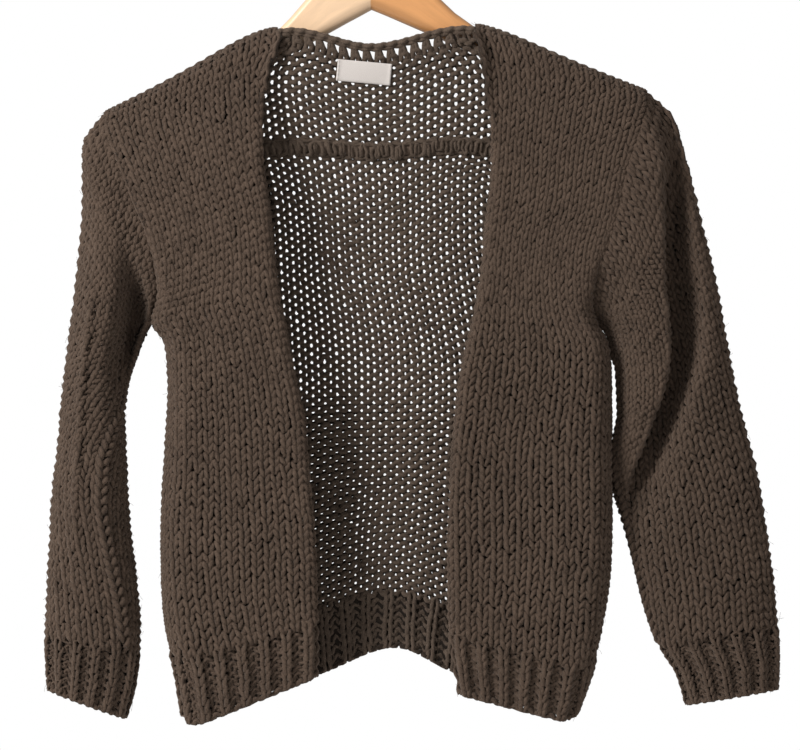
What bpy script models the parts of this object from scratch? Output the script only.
# A child's open knitted cardigan of bulky wool, hanging on a wooden hanger.
# Lengths are millimetres until the meshes are written, which are in metres.
# +X is the wearer's left, -Y the front, +Z up. The origin is inside the top of the hook.
import bpy
import math
import numpy as np

WALL = 4.0            # thickness of the bulky knit
GAP = 0.4             # space left at every seam
TURN_POWER = 2.2      # roundness with which a panel turns at its side
UNDERARM = 0.5985     # height share of the underarm on a panel
RIB_TOP = 0.095       # height share where the hem ribbing ends
LOW_CELLS = 11        # rows of cells of a panel below the underarm
HIGH_CELLS = 15       # rows of cells of a panel along the armhole
FRONT_CELLS = 12      # columns of cells of a front
BACK_SIDE_CELLS = 9   # columns of cells of the back beside the neck, each side
BACK_NECK_CELLS = 9   # columns of cells of the back below the neck
RIB_RAISE = 1.1       # height of a rib over the mean surface
RIBS_FRONT = 8        # ribs on a front's hem
RIBS_BACK = 21        # ribs on the back's hem
RIBS_CUFF = 12        # ribs round a cuff
ARM_HALF = 5.5        # half the thickness of the hanger's wood
HOOK_RADIUS = 17.0    # inside radius of the hook
WIRE_RADIUS = 1.6     # radius of the hook's wire
EDGING_TALL = 4.4     # height of the bound-off neck edge
EDGING_DEEP = 5.0     # depth of the bound-off neck edge
RIDGE_TALL = 8.6      # height of the ridge across the inside of the back
RIDGE_RAISE = 2.4     # how far the ridge stands out
LABEL_SIZE = (36.0, 13.6, 0.6)
LABEL_ACROSS = 0.43   # place of the label's middle across the neck
LABEL_HEIGHT = 0.9535  # height share of the label's middle
NECK_WIDTH = 124.0    # length across the neck part at the label
PANEL_TALL = 300.0    # length of a whole height share there

RIGHT_FRONT_ROWS = (
    # height  side_x side_y side_z  edge_x edge_y edge_z  depth turn curl  sag  lift
    (0.000, -119.1, 0.0, -536.4, -33.1, -14.0, -511.2, 20.0, 15.0, 7.0, 9.8, 0.0),
    (0.069, -124.2, 0.0, -506.8, -32.8, -15.0, -489.2, 22.0, 16.0, 7.0, 7.6, 0.0),
    (0.140, -130.8, 0.0, -476.6, -33.8, -16.0, -458.9, 23.0, 16.0, 7.0, 5.7, 0.0),
    (0.229, -132.8, 0.0, -438.8, -35.0, -17.0, -423.0, 24.0, 16.0, 7.0, 4.4, 0.0),
    (0.321, -132.4, 0.0, -401.0, -38.2, -17.0, -387.1, 24.0, 16.0, 7.0, 3.1, 0.0),
    (0.412, -130.2, 0.0, -363.2, -41.6, -17.0, -350.6, 24.0, 16.0, 7.0, 2.5, 0.0),
    (0.501, -128.6, 0.0, -328.5, -49.5, -17.0, -312.8, 24.0, 15.0, 7.0, 1.3, 0.0),
    (0.568, -131.1, 0.0, -301.4, -54.6, -17.0, -285.0, 24.0, 13.0, 7.0, 0.6, 0.0),
    (0.598, -139.0, 0.0, -289.4, -57.7, -17.0, -268.7, 24.0, 12.0, 7.0, 0.0, 0.0),
    (0.647, -134.9, -14.0, -272.4, -60.9, -17.0, -244.7, 24.0, 11.0, 7.0, 0.0, 0.0),
    (0.699, -137.7, -20.0, -249.1, -63.4, -17.0, -218.3, 24.0, 10.0, 6.0, 0.0, 0.0),
    (0.742, -144.0, -21.0, -228.3, -66.5, -16.5, -198.1, 23.0, 10.0, 6.0, 0.0, 0.0),
    (0.797, -150.3, -20.0, -213.8, -67.8, -16.5, -177.3, 22.0, 10.0, 6.0, 0.0, 0.0),
    (0.864, -157.9, -18.0, -194.9, -67.8, -17.5, -152.7, 19.0, 10.0, 8.0, 0.0, 0.6),
    (0.922, -165.4, -13.5, -176.0, -67.2, -16.5, -130.7, 14.5, 10.0, 12.0, 0.0, 1.9),
    (0.959, -168.6, -9.0, -164.7, -61.2, -15.6, -115.6, 11.6, 6.0, 12.0, 0.0, 3.1),
    (0.979, -168.3, -5.0, -159.0, -60.2, -10.0, -107.7, 8.8, 6.0, 6.0, 0.0, 3.5),
    (1.000, -167.3, 0.0, -156.5, -59.9, 0.0, -103.5, 0.0, 6.0, 6.0, 0.0, 3.5),
)
LEFT_FRONT_ROWS = (
    # height  side_x side_y side_z  edge_x edge_y edge_z  depth turn curl  sag  lift
    (0.000, 131.9, 0.0, -527.6, 53.8, -14.0, -522.5, 20.0, 15.0, 7.0, 15.1, 0.0),
    (0.069, 138.5, 0.0, -509.3, 49.7, -15.0, -496.1, 22.0, 16.0, 7.0, 12.0, 0.0),
    (0.140, 145.8, 0.0, -479.7, 47.8, -16.0, -465.8, 23.0, 16.0, 7.0, 7.6, 0.0),
    (0.229, 150.6, 0.0, -448.2, 47.5, -17.0, -432.5, 24.0, 16.0, 7.0, 5.0, 0.0),
    (0.321, 151.8, 0.0, -413.6, 48.8, -17.0, -399.1, 24.0, 16.0, 7.0, 3.1, 0.0),
    (0.412, 151.6, 0.0, -375.8, 50.7, -17.0, -363.2, 24.0, 16.0, 7.0, 2.5, 0.0),
    (0.501, 151.5, 0.0, -338.0, 54.4, -17.0, -328.5, 24.0, 15.0, 7.0, 1.3, 0.0),
    (0.568, 149.8, 0.0, -303.3, 60.1, -17.0, -300.2, 24.0, 13.0, 7.0, 0.6, 0.0),
    (0.598, 143.3, 0.0, -291.3, 63.9, -17.0, -284.4, 24.0, 12.0, 7.0, 0.0, 0.0),
    (0.647, 139.5, -12.0, -278.1, 67.7, -17.0, -262.4, 24.0, 11.0, 7.0, 0.0, 0.0),
    (0.699, 141.4, -18.0, -261.7, 69.6, -17.0, -243.5, 24.0, 10.0, 6.0, 0.0, 0.0),
    (0.742, 145.2, -21.0, -246.0, 71.4, -16.5, -225.8, 23.0, 10.0, 6.0, 0.0, 0.0),
    (0.797, 153.8, -21.0, -222.0, 74.6, -16.5, -200.6, 22.0, 10.0, 6.0, 0.0, 0.0),
    (0.864, 160.9, -18.0, -191.2, 75.2, -17.5, -169.1, 19.0, 10.0, 8.0, 0.0, 0.6),
    (0.922, 169.7, -13.5, -166.0, 74.0, -16.5, -136.4, 14.5, 10.0, 12.0, 0.0, 0.9),
    (0.959, 173.8, -9.0, -152.7, 70.2, -15.6, -115.2, 11.6, 6.0, 12.0, 0.0, 1.6),
    (0.979, 173.5, -5.0, -146.1, 66.7, -10.0, -105.8, 8.8, 6.0, 6.0, 0.0, 1.9),
    (1.000, 172.2, 0.0, -143.1, 66.1, 0.0, -101.6, 0.0, 6.0, 6.0, 0.0, 1.9),
)
BACK_ROWS = (
    # height  lip_x lip_z  middle_x middle_z  far_x far_z  lip_y middle_y shoulder_y
    (0.000, -33.1, -511.2, 14.7, -494.2, 53.8, -510.6, 19.0, 19.0, 19.0),
    (0.069, -36.4, -482.7, 13.7, -469.1, 55.9, -482.0, 21.0, 21.0, 21.0),
    (0.140, -39.9, -453.0, 12.5, -442.3, 58.0, -452.3, 22.0, 22.0, 22.0),
    (0.229, -44.1, -416.3, 11.1, -408.5, 60.7, -415.5, 23.0, 23.0, 23.0),
    (0.321, -48.5, -378.4, 9.7, -372.9, 63.5, -377.5, 23.0, 24.0, 24.0),
    (0.412, -52.9, -340.4, 8.2, -336.8, 66.3, -339.4, 23.0, 24.0, 24.0),
    (0.501, -57.1, -303.7, 6.9, -301.8, 68.9, -302.7, 23.0, 24.0, 24.0),
    (0.568, -60.3, -275.9, 5.8, -275.0, 71.0, -274.8, 22.0, 23.0, 24.0),
    (0.598, -61.8, -263.2, 5.3, -262.8, 71.9, -262.1, 22.0, 22.0, 24.0),
    (0.647, -64.1, -243.0, 4.5, -243.3, 73.4, -241.8, 21.0, 21.0, 24.0),
    (0.699, -66.6, -221.5, 3.7, -222.6, 74.9, -220.3, 18.0, 18.0, 24.0),
    (0.742, -68.4, -203.8, 3.4, -206.9, 75.2, -202.5, 13.0, 14.0, 23.0),
    (0.797, -70.9, -180.5, 2.1, -181.7, 77.1, -180.5, 7.0, 9.0, 21.5),
    (0.864, -70.9, -157.1, 1.5, -160.3, 77.1, -156.5, -1.0, 3.0, 18.5),
    (0.922, -69.0, -136.4, 0.9, -141.4, 75.9, -135.1, -6.4, -3.0, 14.5),
    (0.959, -63.1, -121.2, 0.3, -130.1, 71.4, -120.0, -6.4, -6.4, 11.6),
    (0.979, -58.5, -114.9, 0.3, -124.7, 66.4, -113.7, -6.4, -6.4, 8.8),
    (1.000, -58.0, -109.9, 0.3, -119.0, 64.5, -108.3, -6.4, -6.4, 0.2),
)
RIGHT_SLEEVE_ROWS = (
    # outer_x outer_z  inner_x inner_z  half_depth  fold_depth fold_place
    (-167.3, -156.5, -139.0, -289.4, 21.0, 0.0, 0.5),
    (-180.2, -172.9, -140.6, -291.3, 24.0, 0.0, 0.5),
    (-182.1, -194.3, -143.1, -294.8, 26.0, 0.0, 0.5),
    (-182.4, -221.4, -146.2, -301.4, 28.0, 0.0, 0.5),
    (-184.7, -248.5, -149.7, -311.5, 29.0, 0.0, 0.5),
    (-187.8, -276.8, -154.1, -324.7, 30.0, 0.0, 0.5),
    (-191.0, -301.4, -156.0, -339.2, 30.0, 0.0, 0.5),
    (-194.7, -331.7, -155.0, -361.9, 29.0, 0.0, 0.5),
    (-197.3, -363.2, -154.1, -388.4, 28.0, 0.0, 0.5),
    (-201.3, -395.9, -151.9, -417.3, 26.0, 0.0, 0.5),
    (-203.2, -432.5, -148.4, -447.6, 23.0, 0.0, 0.5),
    (-204.8, -464.0, -145.9, -474.0, 20.0, 0.0, 0.5),
    (-205.6, -487.9, -146.2, -498.0, 17.5, 0.0, 0.5),
    (-205.1, -504.6, -149.1, -518.8, 15.5, 0.0, 0.5),
    (-203.9, -520.7, -154.4, -538.3, 14.0, 0.0, 0.5),
)
LEFT_SLEEVE_ROWS = (
    # outer_x outer_z  inner_x inner_z  half_depth  fold_depth fold_place
    (172.2, -143.1, 143.3, -291.3, 21.0, 0.0, 0.05),
    (188.0, -157.5, 147.0, -293.3, 22.0, 3.0, 0.08),
    (196.1, -180.8, 149.5, -297.0, 22.0, 8.0, 0.20),
    (202.5, -203.8, 151.2, -303.9, 22.0, 11.0, 0.31),
    (208.8, -229.6, 151.6, -316.5, 21.0, 13.0, 0.38),
    (215.7, -257.3, 152.3, -335.4, 20.0, 14.0, 0.41),
    (222.0, -288.8, 152.3, -353.7, 19.0, 14.0, 0.48),
    (227.7, -321.6, 152.5, -370.7, 17.0, 12.0, 0.66),
    (234.6, -351.8, 153.1, -393.4, 15.0, 7.0, 0.82),
    (242.8, -383.3, 158.4, -411.7, 14.0, 2.0, 0.90),
    (248.5, -416.7, 165.0, -436.2, 13.5, 0.0, 0.95),
    (253.5, -451.4, 172.6, -467.7, 13.0, 0.0, 0.95),
    (256.0, -481.6, 182.0, -494.2, 12.5, 0.0, 0.95),
    (256.9, -500.5, 191.8, -509.9, 12.0, 0.0, 0.95),
    (256.0, -520.0, 198.1, -529.8, 11.0, 0.0, 0.95),
)
HANGER_ROWS = (
    # x  top  underside
    (-153.5, -163.4, -169.7),
    (-149.7, -156.2, -171.6),
    (-139.6, -149.3, -168.5),
    (-108.1, -132.6, -151.8),
    (-79.8, -116.2, -135.4),
    (-69.0, -112.7, -130.1),
    (-59.4, -112.4, -125.2),
    (-57.9, -104.0, -124.4),
    (-50.8, -96.7, -120.3),
    (-41.6, -86.0, -115.2),
    (-33.8, -77.1, -110.8),
    (-26.2, -68.9, -106.7),
    (-16.8, -62.0, -101.4),
    (-8.6, -59.5, -97.0),
    (0.0, -58.9, -92.3),
    (8.4, -59.5, -95.7),
    (17.9, -62.6, -99.8),
    (27.3, -69.6, -103.9),
    (36.8, -78.4, -108.0),
    (44.0, -86.0, -111.2),
    (52.5, -94.1, -114.9),
    (63.9, -102.2, -119.8),
    (65.1, -110.8, -120.3),
    (77.7, -112.7, -126.0),
    (93.5, -118.1, -132.6),
    (118.7, -128.5, -143.9),
    (143.9, -139.5, -154.6),
    (151.5, -144.2, -156.5),
    (155.2, -149.6, -155.3),
)


def hermite(knots, values, at):
    """Cubic through values at knots, with each slope the chord between its two neighbours."""
    knots = np.asarray(knots, float)
    values = np.asarray(values, float)
    slope = np.empty_like(values)
    slope[1:-1] = ((values[2:] - values[:-2]).T / (knots[2:] - knots[:-2])).T
    slope[0] = (values[1] - values[0]) / (knots[1] - knots[0])
    slope[-1] = (values[-1] - values[-2]) / (knots[-1] - knots[-2])
    at = np.asarray(at, float)
    i = np.clip(np.searchsorted(knots, at, side="right") - 1, 0, len(knots) - 2)
    step = knots[i + 1] - knots[i]
    t = (at - knots[i]) / step
    shape = (-1,) + (1,) * (values.ndim - 1)
    t = t.reshape(shape)
    step = step.reshape(shape)
    return (
        (2 * t**3 - 3 * t**2 + 1) * values[i]
        + (t**3 - 2 * t**2 + t) * step * slope[i]
        + (3 * t**2 - 2 * t**3) * values[i + 1]
        + (t**3 - t**2) * step * slope[i + 1]
    )


def even(line, shares):
    """Points of a dense polyline at shares of its length."""
    length = np.concatenate([[0], np.cumsum(np.linalg.norm(np.diff(line, axis=0), axis=1))])
    at = np.asarray(shares) * length[-1]
    return np.stack([np.interp(at, length, line[:, k]) for k in range(3)], axis=1)


def turned(way, width, start, main):
    """Depth of a panel that leaves start along y and reaches main over width, as a superellipse."""
    w = np.clip(1 - np.abs(way) / width, 0, 1)
    return main + (start - main) * (1 - (1 - w**TURN_POWER) ** (1 / TURN_POWER))


def front_surface(rows, heights, across):
    """Outer points of a front: one section for each height share, even in length across."""
    rows = np.array(rows)
    table = hermite(rows[:, 0], rows[:, 1:], heights)
    t = 0.5 - 0.5 * np.cos(np.pi * np.linspace(0, 1, 241))
    made = []
    for sx, sy, sz, ex, ey, ez, depth, turn, curl, sag, lift in table:
        x = sx + (ex - sx) * t
        y = turned(x - sx, turn, min(sy, -GAP / 2), -depth)
        y += turned(ex - x, curl, ey, -depth) + depth
        z = sz + (ez - sz) * t - sag * (1 - t) * (1 - np.exp(-t / 0.05))
        z += lift * 12.2 * t**4 * (1 - t)
        made.append(even(np.stack([x, y, z], axis=1), across))
    return np.array(made)


def level(row, x):
    """Height along a front's section at x, without its sag, which the back shares beside the neck."""
    t = np.clip((x - row[0]) / (row[3] - row[0]), 0, 1)
    return row[2] + (row[5] - row[2]) * t + row[10] * 12.2 * t**4 * (1 - t)


def back_surface(heights, across):
    """Outer points of the back, from the wearer's right side to the left one.
    across 0 to 0.3 and 0.7 to 1 lie beside the neck, 0.32 to 0.68 below it."""
    right = np.array(RIGHT_FRONT_ROWS)
    left = np.array(LEFT_FRONT_ROWS)
    rows = np.array(BACK_ROWS)
    r = hermite(right[:, 0], right[:, 1:], heights)
    f = hermite(left[:, 0], left[:, 1:], heights)
    table = hermite(rows[:, 0], rows[:, 1:], heights)
    across = np.asarray(across, float)
    made = []
    joins = np.clip((0.93 - np.asarray(heights)) / 0.07, 0, 1)
    for right_row, left_row, (ax, az, mx, mz, bx, bz, ya, ym, ys), join in zip(r, f, table, joins):
        rx, ry, rz = right_row[:3]
        fx, fy, fz = left_row[:3]
        knots_x = np.array([rx, ax, mx, bx, fx])
        knots_z = np.array([rz, az, mz, bz, fz])
        shoulder = max(ys, GAP / 2)
        near = np.linspace(0, 1, 161)
        near = 0.5 - 0.5 * np.cos(np.pi * near)
        lip_a = ax - 6.3
        lip_b = bx + 6.3
        xa = rx + (lip_a - rx) * near
        xb = fx + (lip_b - fx) * near
        drop_a = join * (az - level(right_row, lip_a))
        drop_b = join * (bz - level(left_row, lip_b))
        za = level(right_row, xa) + drop_a * near**2
        zb = level(left_row, xb) + drop_b * near**2
        side_a = np.stack([xa, turned(xa - rx, 16.0, max(-ry, GAP / 2), shoulder), za], axis=1)
        side_b = np.stack([xb, turned(xb - fx, 16.0, max(-fy, GAP / 2), shoulder), zb], axis=1)
        mid = np.linspace(0, 1, 81)
        xm = np.where(mid < 0.5, ax + (mx - ax) * mid * 2, mx + (bx - mx) * (mid * 2 - 1))
        bow = 4 * mid * (1 - mid)
        middle = np.stack([xm, ya + (ym - ya) * bow, hermite(knots_x, knots_z, xm)], axis=1)
        row = np.empty((len(across), 3))
        low = across <= 0.3001
        high = across >= 0.6999
        inner = ~(low | high)
        row[low] = even(side_a, across[low] / 0.3)
        row[high] = even(side_b, (1 - across[high]) / 0.3)
        share = (across[inner] - 0.32) / 0.36
        row[inner] = even(middle, np.clip(share, 0, 1))
        made.append(row)
    return np.array(made)


def armhole(rows, shares):
    """The seam line of a sleeve: shares 0 to 1 go down the front, 1 to 2 up the back."""
    rows = np.array(rows)
    s = np.asarray(shares, float)
    front = s <= 1
    height = np.where(front, 1 - (1 - UNDERARM) * s, UNDERARM + (1 - UNDERARM) * (s - 1))
    line = hermite(rows[:, 0], rows[:, 1:4], height)
    line[:, 1] = np.where(front, np.minimum(line[:, 1], 0), -np.minimum(line[:, 1], 0))
    return line


def sleeve_surface(body_rows, rows, places, shares):
    """Outer points of a sleeve: a ring for each place (a row number), shares as in armhole.
    A ring is an ellipse across the line from its outer to its inner point, with the fold
    pressed into its front; near the shoulder it takes over the line of the armhole."""
    table = np.array(rows)
    number = np.arange(len(table), dtype=float)
    angle = np.linspace(0, 2 * np.pi, 481)
    sections = hermite(number, table, places)
    first = hermite(number, table, [0.0])[0]
    seam = armhole(body_rows, shares)
    shares = np.asarray(shares, float)

    def ring(ox, oz, ix, iz, depth, fold, place):
        centre = np.array([(ox + ix) / 2, 0.0, (oz + iz) / 2])
        arm = np.array([(ox - ix) / 2, 0.0, (oz - iz) / 2])
        down = (1 - np.cos(angle)) / 2
        wide = np.where(down > place, 0.085, 0.16)
        pressed = fold * np.exp(-(((down - place) / wide) ** 2)) * (np.sin(angle) > 0)
        pressed = pressed * np.clip(np.sin(angle) * 3, 0, 1)
        y = -depth * np.sin(angle) + pressed
        dense = centre + np.cos(angle)[:, None] * arm
        dense[:, 1] = y
        half = len(angle) // 2
        out = np.empty((len(shares), 3))
        in_front = shares <= 1
        out[in_front] = even(dense[: half + 1], shares[in_front])
        out[~in_front] = even(dense[half:], shares[~in_front] - 1)
        return out

    start = ring(*first)
    made = []
    for place, section in zip(places, sections):
        keep = np.clip(1 - place / 3.0, 0, 1) ** 2
        made.append(ring(*section) + keep * (seam - start))
    return np.array(made)


def normals(points, around=False):
    """Unit normals of a grid of points, (along the first index) x (along the second)."""
    if around:
        wide = np.concatenate([points[:, -1:], points, points[:, :1]], axis=1)
        across = (wide[:, 2:] - wide[:, :-2]) / 2
    else:
        across = np.gradient(points, axis=1)
    along = np.gradient(points, axis=0)
    n = np.cross(across, along)
    return n / np.maximum(np.linalg.norm(n, axis=2, keepdims=True), 1e-9)


def wall(outer, inner, keep=None, around=False):
    """Vertices and faces of the closed body between two grids of points. keep says which
    cells are there; open edges get a rim."""
    rows, columns = outer.shape[:2]
    cells = columns if around else columns - 1
    keep = np.ones((rows - 1, cells), bool) if keep is None else keep
    vertices = np.concatenate([outer.reshape(-1, 3), inner.reshape(-1, 3)])
    count = rows * columns
    faces = []

    def at(i, j):
        return i * columns + j % columns

    for i in range(rows - 1):
        for j in range(cells):
            if not keep[i, j]:
                continue
            a, b, c, d = at(i, j), at(i, j + 1), at(i + 1, j + 1), at(i + 1, j)
            faces.append((a, b, c, d))
            faces.append((a + count, d + count, c + count, b + count))
            sides = (
                (i - 1, j, a, b),
                (i + 1, j, c, d),
                (i, j - 1, d, a),
                (i, j + 1, b, c),
            )
            for ni, nj, p, q in sides:
                if around:
                    nj = nj % cells
                inside = 0 <= ni < rows - 1 and 0 <= nj < cells
                if inside and keep[ni, nj]:
                    continue
                faces.append((q, p, p + count, q + count))
    used = np.unique(np.array(faces))
    new = np.full(len(vertices), -1)
    new[used] = np.arange(len(used))
    return vertices[used], [tuple(int(new[k]) for k in f) for f in faces]


def material(name, colour, rough):
    made = bpy.data.materials.new(name)
    made.use_nodes = True
    shader = made.node_tree.nodes["Principled BSDF"]
    shader.inputs["Base Color"].default_value = (*colour, 1.0)
    shader.inputs["Roughness"].default_value = rough
    return made


def add(name, vertices, faces, colour, rough=0.9):
    """One object from millimetre points. Its faces are turned to look outwards."""
    vertices = np.asarray(vertices, float)
    volume = 0.0
    for face in faces:
        p = vertices[list(face)]
        for k in range(1, len(face) - 1):
            volume += np.dot(p[0], np.cross(p[k], p[k + 1]))
    if volume < 0:
        faces = [tuple(reversed(face)) for face in faces]
    mesh = bpy.data.meshes.new(name)
    mesh.from_pydata((vertices / 1000.0).tolist(), [], faces)
    mesh.materials.append(material(name + "_material", colour, rough))
    mesh.update()
    made = bpy.data.objects.new(name, mesh)
    bpy.context.scene.collection.objects.link(made)
    return made


def rib_raise(count, cells):
    """Height of 1x1 ribbing over its mean surface, for columns that stand four to a rib."""
    phase = np.arange(cells + 1) / 4.0 * 2 * np.pi
    return RIB_RAISE * np.cos(phase)


def closed_shares(ring, shares):
    """Points on a closed coarse ring whose two halves run from its first to its middle point."""
    half = len(ring) // 2
    back = np.concatenate([ring[half:], ring[:1]])
    in_front = shares <= 1
    out = np.empty((len(shares), 3))
    out[in_front] = even(ring[: half + 1], shares[in_front])
    out[~in_front] = even(back, shares[~in_front] - 1)
    return out


def shares_between(start, end, cells):
    return np.linspace(start, end, cells + 1)


for old in list(bpy.data.objects):
    bpy.data.objects.remove(old, do_unlink=True)

WOOL = (0.10, 0.076, 0.058)
HIGH = np.concatenate([np.linspace(UNDERARM, 0.958, HIGH_CELLS - 2), [0.974, 0.988, 1.0]])
LOW = shares_between(RIB_TOP, UNDERARM, LOW_CELLS)
PANEL_HEIGHTS = np.concatenate([LOW[:-1], HIGH])
RIB_SHARE_GAP = 0.0008

# Sleeves first, because their seam gives the panels' wall its direction there.
DOWN_SHARES = (1 - HIGH[::-1]) / (1 - UNDERARM)
SLEEVE_SHARES = np.concatenate([DOWN_SHARES, 2 - DOWN_SHARES[1:-1][::-1]])
SLEEVE_PLACES = np.concatenate([[0, 0.35, 0.7], np.arange(1.05, 11.9, 0.78), [11.9]])
seam_way = {}
for side, body_rows, sleeve_rows, outward in (
    ("right", RIGHT_FRONT_ROWS, RIGHT_SLEEVE_ROWS, -1.0),
    ("left", LEFT_FRONT_ROWS, LEFT_SLEEVE_ROWS, 1.0),
):
    outer = sleeve_surface(body_rows, sleeve_rows, SLEEVE_PLACES, SLEEVE_SHARES)
    way = normals(outer, around=True)
    centre = outer.mean(axis=1, keepdims=True)
    if np.sum(way * (outer - centre)) < 0:
        way = -way
    panel = front_surface(body_rows, PANEL_HEIGHTS, shares_between(0, 1, FRONT_CELLS))
    panel_way = normals(panel)
    if np.sum(panel_way[:, :, 1]) > 0:
        panel_way = -panel_way
    beside = panel_way[LOW_CELLS:][::-1, 0]
    back_beside = beside[1:-1][::-1] * np.array([1, -1, 1])
    beside = np.concatenate([beside, back_beside])
    under = np.exp(-(((SLEEVE_SHARES - 1) / 0.22) ** 2))[:, None]
    mixed = way[0] + beside + np.array([0, 0, -1.4]) * under
    mixed[[0, HIGH_CELLS], 1] = 0
    mixed /= np.linalg.norm(mixed, axis=1, keepdims=True)
    way[0] = mixed
    seam_way[side] = mixed
    outer[0] += np.array([outward * 2.0 * GAP, 0, -0.6 * GAP])
    cloth = wall(outer, outer - way * WALL, around=True)
    add(side + "_sleeve", *cloth, WOOL)
    cuff_cells = 4 * RIBS_CUFF
    cuff_shares = np.arange(cuff_cells) * 2.0 / cuff_cells
    cuff_places = np.array([11.95, 12.4, 13.0, 13.6, 14.0])
    cuff = sleeve_surface(body_rows, sleeve_rows, cuff_places, cuff_shares)
    cuff_way = normals(cuff, around=True)
    if np.sum(cuff_way * (cuff - cuff.mean(axis=1, keepdims=True))) < 0:
        cuff_way = -cuff_way
    raised = rib_raise(RIBS_CUFF, cuff_cells - 1)[None, :, None]
    fade = np.array([0.3, 1, 1, 1, 1])[:, None, None]
    rib_outer = cuff + cuff_way * raised * fade
    rib_inner = cuff - cuff_way * WALL * 0.9
    along = cuff[2].mean(axis=0) - cuff[0].mean(axis=0)
    along *= GAP / np.linalg.norm(along)
    rib_outer[0] = closed_shares(outer[-1], cuff_shares) + along + (cuff_way * raised * fade)[0]
    rib_inner[0] = closed_shares((outer - way * WALL)[-1], cuff_shares) + along
    cloth = wall(rib_outer, rib_inner, around=True)
    add(side + "_cuff", *cloth, WOOL)

# The two fronts and their hem ribbing.
for side, body_rows in (("right", RIGHT_FRONT_ROWS), ("left", LEFT_FRONT_ROWS)):
    outer = front_surface(body_rows, PANEL_HEIGHTS, shares_between(0, 1, FRONT_CELLS))
    way = normals(outer)
    if np.sum(way[:, :, 1]) > 0:
        way = -way
    way[LOW_CELLS:, 0] = seam_way[side][: HIGH_CELLS + 1][::-1]
    way[:LOW_CELLS, 0] = [(-1.0 if side == "right" else 1.0), 0, 0]
    way[-1] = [0, 0, 1.0]
    way[-1, 0] = seam_way[side][0]
    panel_inner = outer - way * WALL
    add(side + "_front", *wall(outer, panel_inner), WOOL)
    cells = 4 * RIBS_FRONT
    heights = np.array([0.0, 0.03, 0.07, RIB_TOP - RIB_SHARE_GAP])
    rib = front_surface(body_rows, heights, shares_between(0, 1, cells))
    way = normals(rib)
    if np.sum(way[:, :, 1]) > 0:
        way = -way
    way[:, 0] = [(-1.0 if side == "right" else 1.0), 0, 0]
    raised = rib_raise(RIBS_FRONT, cells) * np.clip(np.arange(cells + 1) / 4.0, 0, 1)
    fade = np.array([1, 1, 1, 0.3])[:, None, None]
    rib_outer = rib + way * raised[None, :, None] * fade
    rib_inner = rib - way * WALL * 0.9
    rib_outer[-1] = even(outer[0], np.linspace(0, 1, cells + 1)) - [0, 0, GAP]
    rib_outer[-1] += (way * raised[None, :, None] * fade)[-1]
    rib_inner[-1] = even(panel_inner[0], np.linspace(0, 1, cells + 1)) - [0, 0, GAP]
    add(side + "_front_hem_rib", *wall(rib_outer, rib_inner), WOOL)

# The back, with a slit at each end of the neck that lets the hanger's arm in.
lip = np.array([0.3, 0.32])
across = np.concatenate([
    shares_between(0, 0.3, BACK_SIDE_CELLS),
    shares_between(0.32, 0.68, BACK_NECK_CELLS),
    shares_between(0.7, 1.0, BACK_SIDE_CELLS),
])
outer = back_surface(PANEL_HEIGHTS, across)
way = normals(outer)
if np.sum(way[:, :, 1]) < 0:
    way = -way
n_side = BACK_SIDE_CELLS
way[LOW_CELLS:, 0] = seam_way["right"][: HIGH_CELLS + 1][::-1] * np.array([1, -1, 1])
way[LOW_CELLS:, -1] = seam_way["left"][: HIGH_CELLS + 1][::-1] * np.array([1, -1, 1])
way[:LOW_CELLS, 0] = [-1.0, 0, 0]
way[:LOW_CELLS, -1] = [1.0, 0, 0]
way[-1, 1 : n_side + 1] = [0, 0, 1.0]
way[-1, -n_side - 1 : -1] = [0, 0, 1.0]
neck_part = slice(n_side + 1, n_side + 2 + BACK_NECK_CELLS)
way[-5:, neck_part] = [0, 1.0, 0]
keep = np.ones((len(outer) - 1, len(across) - 1), bool)
SLIT_ROWS = 5
keep[-SLIT_ROWS:, n_side] = False
keep[-SLIT_ROWS:, -n_side - 1] = False
back_inner = outer - way * WALL
way_of_back = way
outer_of_back = outer
add("back_panel", *wall(outer, back_inner, keep), WOOL)
cells = 4 * RIBS_BACK
heights = np.array([0.0, 0.03, 0.07, RIB_TOP - RIB_SHARE_GAP])
# Below the slit the columns are even from side to side.
dense = back_surface(heights, np.concatenate([np.linspace(0, 0.3, 90), np.linspace(0.32, 0.68, 109),
                                              np.linspace(0.7, 1, 90)]))
rib = np.array([even(line, np.linspace(0, 1, cells + 1)) for line in dense])
way = normals(rib)
if np.sum(way[:, :, 1]) < 0:
    way = -way
way[:, 0] = [-1.0, 0, 0]
way[:, -1] = [1.0, 0, 0]
ends = np.minimum(np.arange(cells + 1), cells - np.arange(cells + 1)) / 4.0
raised = rib_raise(RIBS_BACK, cells) * np.clip(ends, 0, 1)
fade = np.array([1, 1, 1, 0.3])[:, None, None]
rib_outer = rib + way * raised[None, :, None] * fade
rib_inner = rib - way * WALL * 0.9
rib_outer[-1] = even(outer[0], np.linspace(0, 1, cells + 1)) - [0, 0, 2 * GAP]
rib_outer[-1] += (way * raised[None, :, None] * fade)[-1]
rib_inner[-1] = even(back_inner[0], np.linspace(0, 1, cells + 1)) - [0, 0, 2 * GAP]
add("back_hem_rib", *wall(rib_outer, rib_inner), WOOL)


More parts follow.
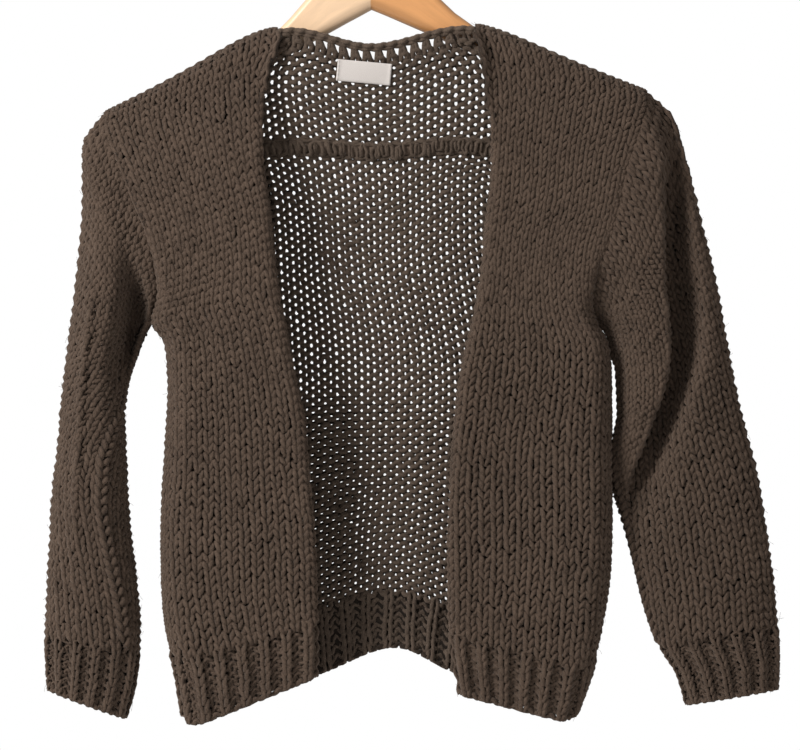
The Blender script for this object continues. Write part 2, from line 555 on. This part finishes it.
def on_back(height, across_at):
    """(inner point, outward normal) of the back at arrays of height and across shares, straight
    between the panel's own points."""
    stack = np.concatenate([back_inner, way_of_back], axis=2)
    i = np.clip(np.searchsorted(PANEL_HEIGHTS, height) - 1, 0, len(PANEL_HEIGHTS) - 2)
    j = np.clip(np.searchsorted(across, across_at) - 1, 0, len(across) - 2)
    p = ((height - PANEL_HEIGHTS[i]) / (PANEL_HEIGHTS[i + 1] - PANEL_HEIGHTS[i]))[..., None]
    q = ((across_at - across[j]) / (across[j + 1] - across[j]))[..., None]
    low = stack[i, j] * (1 - q) + stack[i, j + 1] * q
    high = stack[i + 1, j] * (1 - q) + stack[i + 1, j + 1] * q
    mixed = low * (1 - p) + high * p
    facing = mixed[..., 3:]
    return mixed[..., :3], facing / np.linalg.norm(facing, axis=-1, keepdims=True)


# The ridge across the inside of the back follows the panel's own inner points.
RIDGE_HEIGHT = 0.8
ridge_heights = RIDGE_HEIGHT + np.array([-0.5, -0.17, 0.17, 0.5]) * RIDGE_TALL / 412.0
ridge_across = np.concatenate([np.linspace(0.1, 0.3, 9), np.linspace(0.32, 0.68, 13), np.linspace(0.7, 0.9, 9)])
ridge_v, ridge_u = np.meshgrid(ridge_heights, ridge_across, indexing="ij")
near, facing = on_back(ridge_v, ridge_u)
bulge = np.array([0.55, 1, 1, 0.55])[:, None, None] * RIDGE_RAISE
add("back_seam_ridge", *wall(near - facing * (1.0 + bulge), near - facing * 1.0), WOOL)

# The label lies on the panel's inner points below the neck, tilted a little.
u = np.linspace(-0.5, 0.5, 9)
w = np.linspace(-0.5, 0.5, 4)
ww, uu = np.meshgrid(w, u, indexing="ij")
tilt = math.radians(-4.6)
label_x = LABEL_SIZE[0] * uu * math.cos(tilt) - LABEL_SIZE[1] * ww * math.sin(tilt)
label_z = LABEL_SIZE[0] * uu * math.sin(tilt) + LABEL_SIZE[1] * ww * math.cos(tilt)
label_u = 0.32 + 0.36 * (LABEL_ACROSS + label_x / NECK_WIDTH)
near, facing = on_back(LABEL_HEIGHT + label_z / PANEL_TALL, label_u)
add("neck_label", *wall(near - facing * (0.3 + LABEL_SIZE[2]), near - facing * 0.3), (0.83, 0.79, 0.75), 0.7)

# The bound-off edge along the back neck.
top_row = np.array(BACK_ROWS[-1])
neck = even(outer_of_back[-1, neck_part], np.linspace(0, 1, 25))
middle = neck + np.array([0, 0, GAP + EDGING_TALL / 2])
middle[:, 1] = neck[:, 1] - WALL / 2
turns = np.linspace(0, 2 * np.pi, 9)[:-1]
section = np.stack([np.cos(turns) * EDGING_DEEP / 2, np.sin(turns) * EDGING_TALL / 2], axis=1)
tube = middle[:, None, :] + np.stack([0 * section[:, 0], section[:, 0], section[:, 1]], axis=1)[None]
vertices = tube.reshape(-1, 3)
ring = len(turns)
faces = []
for i in range(len(middle) - 1):
    for j in range(ring):
        k = (j + 1) % ring
        faces.append((i * ring + j, i * ring + k, (i + 1) * ring + k, (i + 1) * ring + j))
faces.append(tuple(reversed(range(ring))))
faces.append(tuple(range((len(middle) - 1) * ring, len(middle) * ring)))
add("neck_edging", vertices, faces, WOOL)

# The wooden hanger: sections across X, round at the top and bottom.
rows = np.array(HANGER_ROWS)
rounding = np.linspace(0, np.pi, 5)
vertices = []
for x, top, under in rows:
    half = min(ARM_HALF, (top - under) / 2 - 0.5)
    for a in rounding:
        vertices.append((x, half * math.cos(a), top - half + half * math.sin(a)))
    for a in rounding:
        vertices.append((x, -half * math.cos(a), under + half - half * math.sin(a)))
ring = 2 * len(rounding)
faces = []
for i in range(len(rows) - 1):
    for j in range(ring):
        k = (j + 1) % ring
        faces.append((i * ring + j, i * ring + k, (i + 1) * ring + k, (i + 1) * ring + j))
faces.append(tuple(reversed(range(ring))))
faces.append(tuple(range((len(rows) - 1) * ring, len(rows) * ring)))
add("hanger", vertices, faces, (0.72, 0.42, 0.2), 0.35)

# The hook: a shank, a neck bend and an open round, one bent wire.
WOOD_TOP = -58.8
centre_z = -HOOK_RADIUS - 0.0
bend = HOOK_RADIUS + WIRE_RADIUS
path = [(0.0, WOOD_TOP + 0.4), (0.0, WOOD_TOP + 4.0)]
start = math.radians(-90)
round_from = math.radians(-62)
join = (bend * math.cos(round_from), centre_z + bend * math.sin(round_from))
for t in np.linspace(0.2, 1.0, 6):
    p0, p1 = np.array(path[1]), np.array(join)
    m0, m1 = np.array([0, 14.0]), np.array([-math.sin(round_from), math.cos(round_from)]) * 10.0
    h = (2 * t**3 - 3 * t**2 + 1) * p0 + (t**3 - 2 * t**2 + t) * m0
    h = h + (3 * t**2 - 2 * t**3) * p1 + (t**3 - t**2) * m1
    path.append((float(h[0]), float(h[1])))
for a in np.linspace(round_from, math.radians(190), 22)[1:]:
    path.append((bend * math.cos(a), centre_z + bend * math.sin(a)))
path = np.array(path)
along = np.gradient(path, axis=0)
along /= np.linalg.norm(along, axis=1, keepdims=True)
turns = np.linspace(0, 2 * np.pi, 9)[:-1]
vertices = []
for (px, pz), (tx, tz) in zip(path, along):
    for a in turns:
        c = WIRE_RADIUS * math.cos(a)
        s = WIRE_RADIUS * math.sin(a)
        vertices.append((px - tz * c, s, pz + tx * c))
ring = len(turns)
faces = []
for i in range(len(path) - 1):
    for j in range(ring):
        k = (j + 1) % ring
        faces.append((i * ring + j, i * ring + k, (i + 1) * ring + k, (i + 1) * ring + j))
faces.append(tuple(reversed(range(ring))))
faces.append(tuple(range((len(path) - 1) * ring, len(path) * ring)))
add("hanger_hook", vertices, faces, (0.6, 0.6, 0.62), 0.25)
